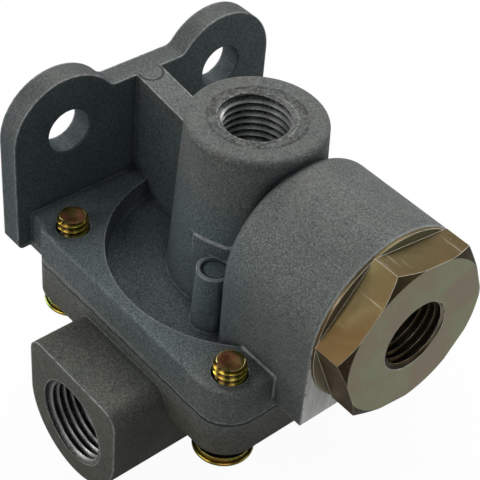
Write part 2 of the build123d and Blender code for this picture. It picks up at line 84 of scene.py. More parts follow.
# ---------------------------------------------------------------- shaders
class Shader:
    """A procedural material. Textures are read in the row frame, in millimetres."""

    def __init__(self, name):
        self.material = bpy.data.materials.new(name)
        self.material.use_nodes = True
        self.tree = self.material.node_tree
        self.tree.nodes.clear()
        output = self.tree.nodes.new("ShaderNodeOutputMaterial")
        self.surface = self.tree.nodes.new("ShaderNodeBsdfPrincipled")
        self.tree.links.new(self.surface.outputs["BSDF"], output.inputs["Surface"])
        place = self.tree.nodes.new("ShaderNodeTexCoord").outputs["Object"]
        scaled = self.tree.nodes.new("ShaderNodeVectorMath")
        scaled.operation = "SCALE"
        scaled.inputs["Scale"].default_value = 1 / MM
        self.tree.links.new(place, scaled.inputs[0])
        self.place = scaled.outputs[0]
        self.geometry = self.tree.nodes.new("ShaderNodeNewGeometry")

    def node(self, kind, inputs=(), **settings):
        made = self.tree.nodes.new("ShaderNode" + kind)
        for key, value in settings.items():
            setattr(made, key, value)
        for key, value in dict(inputs).items():
            self.plug(made.inputs[key], value)
        return made

    def plug(self, socket, value):
        if isinstance(value, bpy.types.NodeSocket):
            self.tree.links.new(value, socket)
        elif socket.type == "RGBA" and len(value) == 3:
            socket.default_value = (*value, 1)
        else:
            socket.default_value = value

    def set(self, **inputs):
        for key, value in inputs.items():
            self.plug(self.surface.inputs[key.replace("_", " ")], value)

    def stretch(self, scale, place=None):
        return self.node("Mapping", {"Vector": place or self.place, "Scale": scale}).outputs[0]

    def noise(self, size, detail=3.0, rough=0.5, place=None, bend=0.0):
        """Noise whose features are about size millimetres across."""
        made = self.node("TexNoise", {"Vector": place or self.place, "Scale": 1 / size, "Detail": detail, "Roughness": rough, "Distortion": bend})
        return made.outputs["Fac"]

    def cells(self, size, feature="F1", place=None, random_share=1.0):
        made = self.node("TexVoronoi", {"Vector": place or self.place, "Scale": 1 / size, "Randomness": random_share}, feature=feature)
        return made.outputs["Distance"]

    def math(self, operation, a, b=0.0, c=0.0, clamp=False):
        made = self.node("Math", operation=operation, use_clamp=clamp)
        for socket, value in zip(made.inputs, (a, b, c)):
            self.plug(socket, value)
        return made.outputs[0]

    def span(self, value, low, high, to_low=0.0, to_high=1.0):
        """value from low..high onto to_low..to_high, smooth and clamped."""
        made = self.node("MapRange", {"Value": value, "From Min": low, "From Max": high, "To Min": to_low, "To Max": to_high}, interpolation_type="SMOOTHSTEP")
        return made.outputs["Result"]

    def mix(self, share, a, b, blend="MIX"):
        made = self.node("Mix", data_type="RGBA", blend_type=blend)
        self.plug(made.inputs["Factor"], share)
        for socket, value in ((made.inputs[6], a), (made.inputs[7], b)):
            self.plug(socket, value)
        return made.outputs[2]

    def mixed(self, share, a, b):
        made = self.node("Mix", data_type="FLOAT")
        for socket, value in zip(made.inputs[:1] + made.inputs[2:4], (share, a, b)):
            self.plug(socket, value)
        return made.outputs[0]

    def squared(self, value):
        return self.math("MULTIPLY", value, value)

    def band(self, value, middle, half):
        """1 where value is at the middle, and 0 from half away."""
        return self.span(self.math("ABSOLUTE", self.math("SUBTRACT", value, middle)), half, half * 0.5)

    def distance(self, a, a_middle, b, b_middle):
        """Distance from a line along the third axis."""
        across = self.squared(self.math("SUBTRACT", a, a_middle))
        along = self.squared(self.math("SUBTRACT", b, b_middle))
        return self.math("SQRT", self.math("ADD", across, along))

    def axes(self, vector):
        return self.node("SeparateXYZ", {"Vector": vector}).outputs

    def bevel(self, radius, samples=8):
        return self.node("Bevel", {"Radius": radius * MM}, samples=samples).outputs[0]

    def dot(self, a, b):
        return self.node("VectorMath", {0: a, 1: b}, operation="DOT_PRODUCT").outputs["Value"]

    def bump(self, height, depth, strength=1.0, normal=None):
        """Bump whose full height is depth millimetres."""
        made = self.node("Bump", {"Height": height, "Distance": depth * MM, "Strength": strength})
        if normal is not None:
            self.plug(made.inputs["Normal"], normal)
        return made.outputs[0]

    def open_air(self, distance, samples=8):
        """1 in the open, towards 0 in corners and gaps."""
        return self.node("AmbientOcclusion", {"Distance": distance * MM}, samples=samples).outputs["AO"]


def edges_of(shader, radius, low=0.02, high=0.25):
    """Rounded normal of that radius, and how near a point is to a sharp edge."""
    soft = shader.bevel(radius)
    turned = shader.math("SUBTRACT", 1.0, shader.dot(soft, shader.geometry.outputs["Normal"]))
    return soft, shader.span(turned, low, high)


def make_cast_alloy():
    """Sand-grey die casting: rough skin, rubbed edges, stain, and faces cut bare after casting, with painted shade
    and painted highlights.
    """
    s = Shader("cast_alloy")
    x, y, z = s.axes(s.place)
    facing = s.axes(s.geometry.outputs["Normal"])
    soft = s.bevel(0.3)
    edge = edges_of(s, 0.7, 0.01, 0.14)[1]
    grain = s.noise(0.32, 3, 0.7)
    sand = s.noise(0.2, 2, 0.6)
    blotch = s.noise(3.4, 5, 0.66, bend=0.4)
    cloud = s.noise(15.0, 4, 0.55)
    open_air = s.open_air(3.0)
    base = s.mix(s.span(blotch, 0.3, 0.72), (0.086, 0.095, 0.091), (0.112, 0.121, 0.112))
    base = s.mix(s.span(grain, 0.48, 0.64, 0.0, 0.85), base, (0.190, 0.200, 0.186))
    base = s.mix(s.span(grain, 0.46, 0.34, 0.0, 0.8), base, (0.040, 0.047, 0.049))
    base = s.mix(s.span(sand, 0.56, 0.76, 0.0, 0.75), base, (0.034, 0.041, 0.046))
    # painted shade: the castings are darker low down and on the plate's front
    painted_low_shade = s.math("MAXIMUM", s.span(z, -22.0, -30.0, 0.0, 0.45), s.span(x, 7.0, 2.0, 0.0, 0.5))
    base = s.mix(painted_low_shade, base, (0.026, 0.032, 0.034))
    # tan stain where the casting was handled: top of the boss, ports and lower casting
    stained = s.math("MAXIMUM", s.span(z, 7.0, 14.0), s.span(z, -24.0, -30.0, 0.0, 0.7))
    stained = s.math("MAXIMUM", stained, s.span(x, 52.0, 68.0, 0.0, 0.35))
    stain = s.math("MULTIPLY", stained, s.span(s.noise(6.0, 5, 0.7), 0.38, 0.66))
    stain = s.math("MAXIMUM", stain, s.span(cloud, 0.56, 0.74, 0.0, 0.35))
    base = s.mix(s.math("MULTIPLY", stain, 0.42), base, (0.135, 0.126, 0.094))
    # painted blue shade: the recess, the web and the plate's front are tinted cooler
    painted_cool_shade = s.math("MULTIPLY", s.span(z, 8.0, -3.0), s.span(x, 58.0, 44.0))
    painted_cool_shade = s.math("MULTIPLY", painted_cool_shade, s.span(z, -15.6, -14.6, 0.75, 1.0))
    plate_front = s.math("MULTIPLY", s.span(x, 7.0, 5.0), s.span(facing[0], 0.3, 0.7))
    painted_cool_shade = s.math("MAXIMUM", s.math("MULTIPLY", painted_cool_shade, s.span(z, -22.0, -20.0)), plate_front)
    base = s.mix(painted_cool_shade, base, (0.86, 1.0, 1.06), "MULTIPLY")
    base = s.mix(s.span(z, -22.0, -27.0), base, (1.10, 1.02, 0.86), "MULTIPLY")
    # painted shade darkens the corners and gaps, in patches
    painted_corner_shade = s.math("MULTIPLY", s.span(open_air, 0.8, 0.35), s.span(blotch, 0.25, 0.6, 0.5, 0.9))
    base = s.mix(painted_corner_shade, base, (0.018, 0.023, 0.027))
    # edges are rubbed bright in places
    rubbed = s.math("MULTIPLY", edge, s.span(open_air, 0.4, 0.75))
    rubbed = s.math("MULTIPLY", rubbed, s.span(s.noise(1.1, 5, 0.75), 0.34, 0.6, 0.25, 1.0))
    base = s.mix(s.math("MULTIPLY", rubbed, 0.8), base, (0.46, 0.47, 0.45))
    # marks of the casting tools: seam, parting line, ejector-pin rings, and a painted highlight on the lip above the
    # seam
    upright = s.span(s.math("ABSOLUTE", facing[2]), 0.6, 0.4)
    waver = s.span(s.noise(2.2, 4, 0.6), 0.2, 0.8, -0.14, 0.14)
    height_above_seam = s.math("ADD", s.math("SUBTRACT", z, SEAM_Z), waver)
    gap = s.math("MULTIPLY", s.band(height_above_seam, 0.0, 0.26), upright)
    # a painted highlight on the lip just above the seam
    painted_lip_highlight = s.math("MULTIPLY", s.band(height_above_seam, 0.52, 0.24), upright)
    painted_lip_highlight = s.math("MULTIPLY", painted_lip_highlight, s.span(s.noise(1.6, 4, 0.7), 0.4, 0.6, 0.05, 0.6))
    fades = s.math("MULTIPLY", s.span(x, 46.0, 36.0), s.span(y, -20.0, -26.0))
    parting = s.math("MULTIPLY", s.band(height_above_seam, 1.15, 0.13), s.math("MULTIPLY", fades, upright))
    column_top = s.math("MULTIPLY", s.band(z, COLUMN_TOP_Z - 0.15, 0.5), s.span(facing[2], 0.6, 0.9))
    beside = s.math("ABSOLUTE", y)
    from_pin = s.distance(x, COLUMN_X, beside, COLUMN_Y)
    pin_ring = s.math("MULTIPLY", column_top, s.band(from_pin, 2.8, 0.26))
    pin_groove = s.math("MULTIPLY", column_top, s.band(from_pin, 2.25, 0.26))
    from_boss = s.distance(x, AXIS_X, y, 0.0)
    # a painted highlight along the ledge round the boss
    painted_highlight_lines = s.math("MULTIPLY", s.band(from_boss, 13.45, 0.7), s.band(s.math("ADD", z, waver), LEDGE_Z, 0.35))
    painted_highlight_lines = s.math("MULTIPLY", painted_highlight_lines, s.span(x, 33.0, 36.5, 0.0, 1.0))
    painted_highlight_lines = s.math("MULTIPLY", painted_highlight_lines, s.span(s.noise(0.9, 4, 0.7), 0.3, 0.55, 0.25, 1.0))
    # a thin painted highlight along the fillet where the drum's walls meet the flange
    at_wall = s.band(s.math("ADD", beside, waver), DRUM_SIDE_Y, 0.4)
    between = s.math("MULTIPLY", s.span(x, 52.6, 53.6), s.span(x, FLANGE_FRONT_X + 0.3, FLANGE_FRONT_X))
    on_top = s.math("MULTIPLY", s.band(z, FLANGE_TOP_Z, 0.3), between)
    down = s.math("MULTIPLY", s.span(z, FLANGE_TOP_Z + 0.3, FLANGE_TOP_Z), s.span(z, -20.8, -19.5))
    on_front = s.math("MULTIPLY", s.band(x, FLANGE_FRONT_X, 0.3), down)
    painted_fillet_highlight = s.math("MULTIPLY", at_wall, s.math("MAXIMUM", on_top, on_front))
    # a rough, speckled painted highlight along the boss's rim
    painted_rim_highlight = s.math("MULTIPLY", s.band(z, BOSS_TOP_Z - 0.8, 0.75), s.span(s.noise(0.8, 5, 0.8), 0.5, 0.66))
    painted_highlight_lines = s.math("MAXIMUM", painted_highlight_lines, s.math("MAXIMUM", s.math("MULTIPLY", painted_fillet_highlight, 0.8), s.math("MULTIPLY", painted_rim_highlight, 0.55)))
    # an ejector-pin mark on top of the web
    web_mark = s.math("MULTIPLY", s.band(s.distance(x, 5.0, y, 0.0), 2.4, 0.2), s.span(z, 4.9, 5.4))
    web_mark = s.math("MULTIPLY", web_mark, s.math("MULTIPLY", s.span(x, 4.6, 4.9), s.span(z, 7.2, 6.7)))
    # tool marks and the painted highlights take one pale tone
    marks_and_painted_highlights = s.math("MAXIMUM", s.math("MAXIMUM", painted_lip_highlight, parting), s.math("MULTIPLY", pin_ring, 0.5))
    marks_and_painted_highlights = s.math("MAXIMUM", marks_and_painted_highlights, painted_highlight_lines)
    base = s.mix(s.math("MULTIPLY", marks_and_painted_highlights, 0.75), base, (0.40, 0.41, 0.39))
    on_boss_top = s.span(z, 13.6, 13.8)
    port_ring = s.math("MULTIPLY", s.band(s.math("ADD", from_boss, waver), 8.5, 0.3), on_boss_top)
    port_ring = s.math("MULTIPLY", port_ring, s.span(s.noise(2.4, 3, 0.6), 0.42, 0.58))
    port_skin = s.math("MULTIPLY", s.span(from_boss, 9.0, 8.6), on_boss_top)
    dark_line = s.math("MAXIMUM", gap, s.math("MAXIMUM", s.math("MULTIPLY", port_ring, 0.6), web_mark))
    dark_line = s.math("MAXIMUM", dark_line, pin_groove)
    base = s.mix(s.math("MULTIPLY", port_skin, s.span(s.noise(0.8, 5, 0.75), 0.45, 0.6)), base, (0.045, 0.046, 0.04))
    base = s.mix(s.math("MULTIPLY", dark_line, 0.9), base, (0.012, 0.013, 0.014))
    # faces cut after casting: the drum's end and the mounting face
    end_face = s.math("MULTIPLY", s.span(x, 68.05, 68.15), s.span(facing[0], 0.8, 0.95))
    back_face = s.math("MULTIPLY", s.span(x, 0.06, 0.02), s.span(facing[0], -0.8, -0.95))
    ragged = s.math("ADD", s.math("ABSOLUTE", y), s.span(s.noise(1.1, 4, 0.7), 0.2, 0.8, 0.0, 1.0))
    bare = s.math("MULTIPLY", end_face, s.span(ragged, 17.2, 17.05))
    bare = s.math("MAXIMUM", bare, s.math("MULTIPLY", back_face, 0.4))
    lines = s.noise(0.35, 3, 0.7, place=s.stretch((1.0, 1.0, 0.05)))
    cut_tone = s.mix(s.span(lines, 0.3, 0.7), (0.60, 0.59, 0.55), (0.88, 0.87, 0.82))
    base = s.mix(bare, base, cut_tone)
    fine = s.math("ADD", s.math("MULTIPLY", grain, 0.75), s.math("MULTIPLY", sand, 0.35))
    pores = s.span(s.cells(0.9), 0.0, 0.16)
    height = s.math("ADD", s.math("MULTIPLY", fine, 1.1), s.math("MULTIPLY", blotch, 1.0))
    height = s.math("ADD", height, s.math("MULTIPLY", pores, 0.25))
    height = s.math("MULTIPLY", height, s.mixed(bare, 1.0, 0.1))
    height = s.math("MULTIPLY", height, s.span(z, 12.0, 13.0, 1.0, 1.7))
    height = s.math("SUBTRACT", height, s.math("MULTIPLY", dark_line, 2.5))
    height = s.math("ADD", height, s.math("MULTIPLY", marks_and_painted_highlights, 1.2))
    s.set(
        Base_Color=base,
        Metallic=s.mixed(bare, s.mixed(rubbed, 0.35, 0.6), 0.15),
        Roughness=s.mixed(bare, s.span(grain, 0.3, 0.7, 0.7, 0.5), 0.42),
        Normal=s.bump(height, 0.12, 1.0, soft),
    )
    return s.material


def make_cut_alloy():
    """Threads cut in the castings: bare metal, with a painted highlight on the crests and painted shade in the roots.
    """
    s = Shader("cut_alloy")
    x, y, z = s.axes(s.place)
    mouth = s.math("MAXIMUM", s.span(z, BOSS_TOP_Z - 0.45, BOSS_TOP_Z - 0.25), s.span(s.math("ABSOLUTE", y), DELIVERY_FACE_Y - 0.45, DELIVERY_FACE_Y - 0.25))
    soft, edge = edges_of(s, 0.12)
    open_air = s.open_air(1.2)
    tool = s.noise(0.5, 3, 0.65, place=s.stretch((1.0, 1.0, 1.0)))
    to_boss = s.math("SUBTRACT", s.distance(x, AXIS_X, y, 0.0), QUARTER_PIPE_RADIUS)
    to_delivery = s.math("SUBTRACT", s.distance(x, AXIS_X, z, DELIVERY_Z), THREE_EIGHTHS_PIPE_RADIUS)
    depth = s.mixed(s.span(z, -12.0, -10.0), to_delivery, to_boss)
    # painted highlight on the crests and painted shade in the roots
    crest = s.span(depth, -THREAD_HEIGHT * 0.3, -THREAD_HEIGHT * 0.85)
    base = s.mix(crest, (0.022, 0.024, 0.024), (0.42, 0.42, 0.39))
    # painted shade deep in the ports
    base = s.mix(s.span(open_air, 0.6, 0.2, 0.0, 0.6), base, (0.02, 0.021, 0.02))
    base = s.mix(s.span(tool, 0.35, 0.7, 0.0, 0.5), base, (0.20, 0.205, 0.20))
    # painted highlight along the edges
    base = s.mix(s.math("MULTIPLY", edge, 0.5), base, (0.66, 0.66, 0.63))
    skin = s.mix(s.span(s.noise(0.5, 4, 0.7), 0.35, 0.65), (0.04, 0.044, 0.043), (0.15, 0.15, 0.135))
    base = s.mix(mouth, base, skin)
    s.set(
        Base_Color=base,
        Metallic=s.mixed(mouth, 0.85, 0.35),
        Roughness=s.mixed(mouth, s.span(tool, 0.3, 0.7, 0.26, 0.44), 0.6),
        Normal=s.bump(tool, 0.02, 1.0, soft),
    )
    return s.material


def make_yellow_zinc(name, tone, strength, rough):
    """Zinc plate with a yellow passivate, which runs to green and pink, with painted shade, painted highlights and a
    painted reflection on the end faces.
    """
    s = Shader(name)
    facing = s.axes(s.geometry.outputs["True Normal"])
    end = s.span(facing[tone["end_axis"]], 0.93, 0.99)
    soft, edge = edges_of(s, tone["edge"], 0.01, 0.12)
    flow = s.noise(tone["size"], 3, 0.5, bend=0.9)
    drift = s.noise(tone["size"] * 2.3, 2, 0.5)
    base = s.mix(s.span(flow, 0.3, 0.62), tone["gold"], tone["brown"])
    base = s.mix(s.math("MULTIPLY", s.span(drift, 0.45, 0.68), strength), base, tone["green"])
    base = s.mix(s.math("MULTIPLY", s.span(s.noise(tone["size"] * 1.1, 3, 0.6, bend=1.2), 0.56, 0.74), strength), base, tone["pink"])
    x, y, z = s.axes(s.place)
    # painted shade in the roots of the threads
    painted_root_shade = tone["painted_root_shade"](s, x, y, z)
    base = s.mix(painted_root_shade, base, (0.030, 0.018, 0.008))
    # painted reflection: the faces at the end of the axis take their own tone
    painted_end_reflection = s.mix(s.span(s.noise(tone["size"] * 0.8, 3, 0.5, bend=0.6), 0.36, 0.62), tone["end_a"], tone["end_b"])
    base = s.mix(s.math("MULTIPLY", end, 0.88), base, painted_end_reflection)
    scuffs = s.noise(1.7, 6, 0.75)
    base = s.mix(s.span(scuffs, 0.6, 0.8, 0.0, 0.35), base, tone["dull"])
    scratch_a = s.span(s.noise(0.9, 2, 0.5, place=s.stretch((0.08, 1.3, 1.0), s.node("VectorRotate", {"Vector": s.place, "Angle": 0.6}, rotation_type="X_AXIS").outputs[0])), 0.66, 0.72)
    scratch_b = s.span(s.noise(0.7, 2, 0.5, place=s.stretch((1.0, 0.07, 1.5), s.node("VectorRotate", {"Vector": s.place, "Angle": -0.9}, rotation_type="X_AXIS").outputs[0])), 0.67, 0.73)
    scratched = s.math("MAXIMUM", scratch_a, scratch_b)
    base = s.mix(s.math("MULTIPLY", scratched, tone["scratches"]), base, tone["wear_and_edge_highlight"])
    # painted shade in the corners and gaps
    open_air = s.open_air(1.2)
    base = s.mix(s.span(open_air, 0.75, 0.3, 0.0, tone["painted_corner_shade"]), base, (0.022, 0.016, 0.010))
    # painted shade on the chamfers at the hexagon's corners
    chamfer = s.math("MULTIPLY", s.band(facing[tone["end_axis"]], 0.86, 0.09), tone["painted_chamfer_shade"])
    base = s.mix(chamfer, base, (0.030, 0.022, 0.012))
    # painted highlight along the edges, in the same pale tone as the worn scratches
    base = s.mix(s.math("MULTIPLY", edge, 0.9), base, tone["wear_and_edge_highlight"])
    grain = s.noise(0.25, 3, 0.6)
    height = s.math("ADD", s.math("MULTIPLY", scuffs, 1.0), s.math("MULTIPLY", grain, 0.35))
    height = s.math("SUBTRACT", height, s.math("MULTIPLY", scratched, 0.4))
    shine = s.math("ADD", s.math("MULTIPLY", flow, 0.5), s.math("MULTIPLY", scuffs, 0.5))
    s.set(
        Base_Color=base,
        Metallic=0.92,
        Roughness=s.mixed(end, s.span(shine, 0.35, 0.7, rough, rough + 0.16), tone["end_rough"]),
        Normal=s.bump(height, 0.009, 1.0, soft),
    )
    return s.material


def make_rubber():
    s = Shader("rubber")
    soft, edge = edges_of(s, 0.15)
    bloom = s.noise(2.5, 4, 0.6)
    grain = s.noise(0.3, 3, 0.6)
    base = s.mix(s.span(bloom, 0.4, 0.75), (0.018, 0.018, 0.02), (0.045, 0.045, 0.048))
    s.set(Base_Color=base, Roughness=s.span(grain, 0.3, 0.7, 0.45, 0.62), Normal=s.bump(grain, 0.02, 1.0, soft))
    return s.material


def make_acetal():
    s = Shader("acetal")
    soft, edge = edges_of(s, 0.15)
    drift = s.noise(5.0, 3, 0.5)
    grain = s.noise(0.35, 3, 0.6)
    base = s.mix(s.span(drift, 0.35, 0.7), (0.62, 0.61, 0.57), (0.74, 0.73, 0.69))
    s.set(
        Base_Color=base,
        Roughness=s.span(grain, 0.3, 0.7, 0.32, 0.46),
        Subsurface_Weight=0.1,
        Subsurface_Scale=0.001,
        Normal=s.bump(grain, 0.012, 1.0, soft),
    )
    return s.material


def make_spring_steel():
    s = Shader("spring_steel")
    drawn = s.noise(0.4, 3, 0.6, place=s.stretch((0.3, 0.3, 1.6)))
    drift = s.noise(4.0, 3, 0.5)
    base = s.mix(s.span(drift, 0.35, 0.7), (0.40, 0.39, 0.37), (0.56, 0.55, 0.53))
    s.set(Base_Color=base, Metallic=0.95, Roughness=s.span(drawn, 0.3, 0.7, 0.24, 0.38), Normal=s.bump(drawn, 0.01))
    return s.material


cast_alloy = make_cast_alloy()
cut_alloy = make_cut_alloy()
def port_root_shade(s, x, y, z):
    """Painted shade in the roots of the supply port's thread."""
    from_port = s.distance(y, 0.0, z, DRUM_Z)
    return s.band(from_port, QUARTER_PIPE_RADIUS - 0.2, 0.45)


def screw_root_shade(s, x, y, z):
    """Painted shade in the roots of the threads on the four cover screws."""
    beside_x = s.math("ABSOLUTE", s.math("SUBTRACT", x, AXIS_X))
    from_screw = s.distance(beside_x, SCREW_PLACE, s.math("ABSOLUTE", y), SCREW_PLACE)
    return s.span(from_screw, 2.82, 2.45, 0.0, 0.92)


nut_tone = {
    "size": 9.0,
    "painted_root_shade": port_root_shade,
    "edge": 0.2,
    "scratches": 0.14,
    "end_axis": 0,
    "end_a": (0.420, 0.445, 0.275),
    "end_b": (0.440, 0.365, 0.255),
    "end_rough": 0.42,
    "painted_chamfer_shade": 0.75,
    "painted_corner_shade": 0.45,
    "gold": (0.185, 0.128, 0.048),
    "brown": (0.130, 0.078, 0.030),
    "green": (0.150, 0.130, 0.062),
    "pink": (0.180, 0.115, 0.085),
    "dull": (0.105, 0.085, 0.050),
    "wear_and_edge_highlight": (0.92, 0.85, 0.72),
}
screw_tone = {
    "size": 3.4,
    "painted_root_shade": screw_root_shade,
    "edge": 0.1,
    "scratches": 0.12,
    "end_axis": 2,
    "end_a": (0.048, 0.050, 0.009),
    "end_b": (0.160, 0.060, 0.028),
    "end_rough": 0.4,
    "painted_chamfer_shade": 0.0,
    "painted_corner_shade": 0.95,
    "gold": (0.52, 0.46, 0.05),
    "brown": (0.38, 0.22, 0.03),
    "green": (0.26, 0.40, 0.06),
    "pink": (0.48, 0.17, 0.17),
    "dull": (0.22, 0.16, 0.04),
    "wear_and_edge_highlight": (0.92, 0.90, 0.32),
}
nut_zinc = make_yellow_zinc("nut_zinc", nut_tone, 0.6, 0.34)
screw_zinc = make_yellow_zinc("screw_zinc", screw_tone, 0.85, 0.14)
rubber = make_rubber()
acetal = make_acetal()
spring_steel = make_spring_steel()

finish_of = {
    "valve_body": cast_alloy,
    "lower_cover": cast_alloy,
    "cap_nut": nut_zinc,
    "check_guide": acetal,
    "spring_seat": acetal,
    "diaphragm_spring": spring_steel,
    "check_disc": rubber,
    "release_diaphragm": rubber,
    "cap_nut_o_ring": rubber,
    "check_guide_o_ring": rubber,
    "spring_seat_o_ring": rubber,
    "cover_seal_ring": rubber,
}
for name, node in nodes.items():
    finish = finish_of.get(name, screw_zinc)
    node.data.materials.clear()
    node.data.materials.append(finish)


# ---------------------------------------------------------------- mesh pieces
def keep_edges_sharp(made, angle=28):
    """Curved faces shade smooth, and edges over that angle stay sharp."""
    made.data.shade_smooth()
    made.data.set_sharp_from_angle(angle=math.radians(angle))


def piece_from(mesh_data, name, material):
    """A finished mesh as a piece that rides on the castings."""
    mesh = bpy.data.meshes.new(name)
    mesh_data.to_mesh(mesh)
    mesh_data.free()
    made = bpy.data.objects.new(name, mesh)
    bpy.context.scene.collection.objects.link(made)
    made.data.materials.append(material)
    keep_edges_sharp(made, 34)
    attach(made, "valve")
    return made


def boolean(made, cutters, operation="DIFFERENCE"):
    """The mesh of made after each cutter, with the cutters removed."""
    for cutter in cutters:
        step = made.modifiers.new("cut", "BOOLEAN")
        step.operation, step.solver, step.object, step.use_self = operation, "EXACT", cutter, True
    bpy.context.view_layer.update()
    baked = bpy.data.meshes.new_from_object(made.evaluated_get(bpy.context.evaluated_depsgraph_get()))
    made.modifiers.clear()
    made.data = baked
    if "custom_normal" in baked.attributes:
        baked.attributes.remove(baked.attributes["custom_normal"])
    for cutter in cutters:
        bpy.data.objects.remove(cutter)


def grid_to_mesh(rows, close_rows=False):
    """A mesh from rows of points, each row closed on itself; doubles are merged."""
    made = bmesh.new()
    lines = [[made.verts.new(p) for p in row] for row in rows]
    pairs = list(zip(lines, lines[1:]))
    if close_rows:
        pairs.append((lines[-1], lines[0]))
    for low, high in pairs:
        for i in range(len(low) - 1):
            made.faces.new((low[i], low[i + 1], high[i + 1], high[i]))
    bmesh.ops.remove_doubles(made, verts=made.verts, dist=2e-6)
    bmesh.ops.dissolve_degenerate(made, edges=made.edges, dist=1e-7)
    bmesh.ops.recalc_face_normals(made, faces=made.faces)
    return made


# Height of a 60 degree thread over one pitch: 1 on the crest, 0 in the root.
THREAD_FORM = ((-0.085, 0.93), (-0.04, 1.0), (0.04, 1.0), (0.085, 0.93), (0.41, 0.07), (0.46, 0.0), (0.54, 0.0), (0.59, 0.07))


def helix_rows(pitch, low, high, turn_steps, radius_at):
    """Rows of points along a helix, cut square at low and high."""
    rows = []
    turns = int((high - low) / pitch) + 2
    for turn in range(-1, turns + 1):
        for place, level in THREAD_FORM:
            row = []
            for i in range(turn_steps + 1):
                along = low + (turn + place + i / turn_steps) * pitch
                along = min(max(along, low), high)
                radius = radius_at(along, level)
                angle = 2 * math.pi * i / turn_steps
                row.append((radius * math.cos(angle), radius * math.sin(angle), along))
            rows.append(row)
    return rows


def ring_row(radius, along, turn_steps):
    return [
        (radius * math.cos(2 * math.pi * i / turn_steps), radius * math.sin(2 * math.pi * i / turn_steps), along)
        for i in range(turn_steps + 1)
    ]


def place_rows(rows, origin, axis, turn=0.0):
    """Rows from their own axis, in millimetres, to the row frame, in metres."""
    spin = Vector(axis).to_track_quat("Z", "Y").to_matrix() @ Matrix.Rotation(turn, 3, "Z")
    return [[(Vector(origin) + spin @ Vector(p)) * MM for p in row] for row in rows]


def pipe_thread(name, mouth, inward, radius, depth, material, turn=0.0):
    """The thread in a port: 18 turns to the inch, with a countersunk mouth and a run-out."""
    pitch, height, steps, gap = 25.4 / 18, THREAD_HEIGHT, 96, 0.01

    def radius_at(along, level):
        run_out = min(max((along - (depth - 1.6 * pitch)) / (1.3 * pitch), 0), 1)
        level = max(level, run_out)
        crest = radius - gap - height * level
        return max(crest, radius - gap - max(along - 0.06, 0) * 4.0)

    rows = [ring_row(radius - gap, gap, steps)]
    rows += helix_rows(pitch, gap, depth - gap, steps, radius_at)
    rows += [ring_row(radius - gap, depth - gap, steps)]
    mesh_data = grid_to_mesh(place_rows(rows, mouth, inward, turn), close_rows=True)
    return piece_from(mesh_data, name, material)


cap_face_x = cad_high.x / MM
pipe_thread("balance_port_thread", (AXIS_X, 0, BOSS_TOP_Z), (0, 0, -1), QUARTER_PIPE_RADIUS, 12.0, cut_alloy, 0.6)
pipe_thread("supply_port_thread", (cap_face_x, 0, DRUM_Z), (-1, 0, 0), QUARTER_PIPE_RADIUS, 12.0, nut_zinc, 2.2)
for side, name in ((-1, "left"), (1, "right")):
    pipe_thread(f"delivery_{name}_thread", (AXIS_X, side * DELIVERY_FACE_Y, DELIVERY_Z), (0, -side, 0), THREE_EIGHTHS_PIPE_RADIUS, 13.5, cut_alloy, 1.1)


def screw(number):
    """A cover screw: domed head with a cross recess, and a thread up to its chamfered tip."""
    low, high = (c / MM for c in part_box(f"cover_screw_{number}"))
    middle = ((low + high) / 2).to_2d()
    head_radius, shank_radius = (high.x - low.x) / 2, 2.9
    head_height, head_side, chamfer = 3.1, 0.5, 0.45
    length = high.z - low.z
    pitch, height, steps = 25.4 / 20, 0.78, 64
    dome = head_height - head_side
    dome_radius = (head_radius**2 + dome**2) / (2 * dome)

    def radius_at(along, level):
        tip = shank_radius - max(0.0, chamfer - (length - along)) * 1.0
        return min(shank_radius - height * (1 - level), tip)

    rows = []
    for i in range(11):
        angle = math.asin(head_radius / dome_radius) * i / 10
        rows.append(ring_row(max(dome_radius * math.sin(angle), 1e-6), dome_radius * (1 - math.cos(angle)), steps))
    rows.append(ring_row(head_radius, head_height - 0.12, steps))
    rows.append(ring_row(head_radius - 0.12, head_height, steps))
    rows.append(ring_row(shank_radius - height, head_height, steps))
    rows += helix_rows(pitch, head_height, length, steps, radius_at)
    rows.append(ring_row(1.6, length, steps))
    rows.append(ring_row(0.9, length - 0.15, steps))
    rows.append(ring_row(1e-6, length - 0.2, steps))
    turn = (0.4, 1.9, 0.9, 2.7)[number - 1]
    rows = place_rows(rows, (middle.x, middle.y, low.z), (0, 0, 1), turn)
    made = piece_from(grid_to_mesh(rows), f"threaded_screw_{number}", screw_zinc)
    cutter = bmesh.new()
    for quarter in (0, 1):
        shape = bmesh.ops.create_cube(cutter, size=1.0)["verts"]
        for v in shape:
            wide = 2.8 if v.co.z < 0 else 1.1
            thick = 0.62 if v.co.z < 0 else 0.42
            v.co = Vector((math.copysign(wide, v.co.x), math.copysign(thick, v.co.y), -0.6 if v.co.z < 0 else 1.6))
        bmesh.ops.rotate(cutter, cent=(0, 0, 0), matrix=Matrix.Rotation(quarter * math.pi / 2 + turn, 3, "Z"), verts=shape)
    for v in cutter.verts:
        v.co = (v.co + Vector((middle.x, middle.y, low.z))) * MM
    cutter_mesh = bpy.data.meshes.new("cutter")
    cutter.to_mesh(cutter_mesh)
    cutter.free()
    cutter_object = bpy.data.objects.new("cutter", cutter_mesh)
    bpy.context.scene.collection.objects.link(cutter_object)
    boolean(made, [cutter_object])
    keep_edges_sharp(made, 34)
    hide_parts(f"cover_screw_{number}")
    return made


for number in (1, 2, 3, 4):
    screw(number)


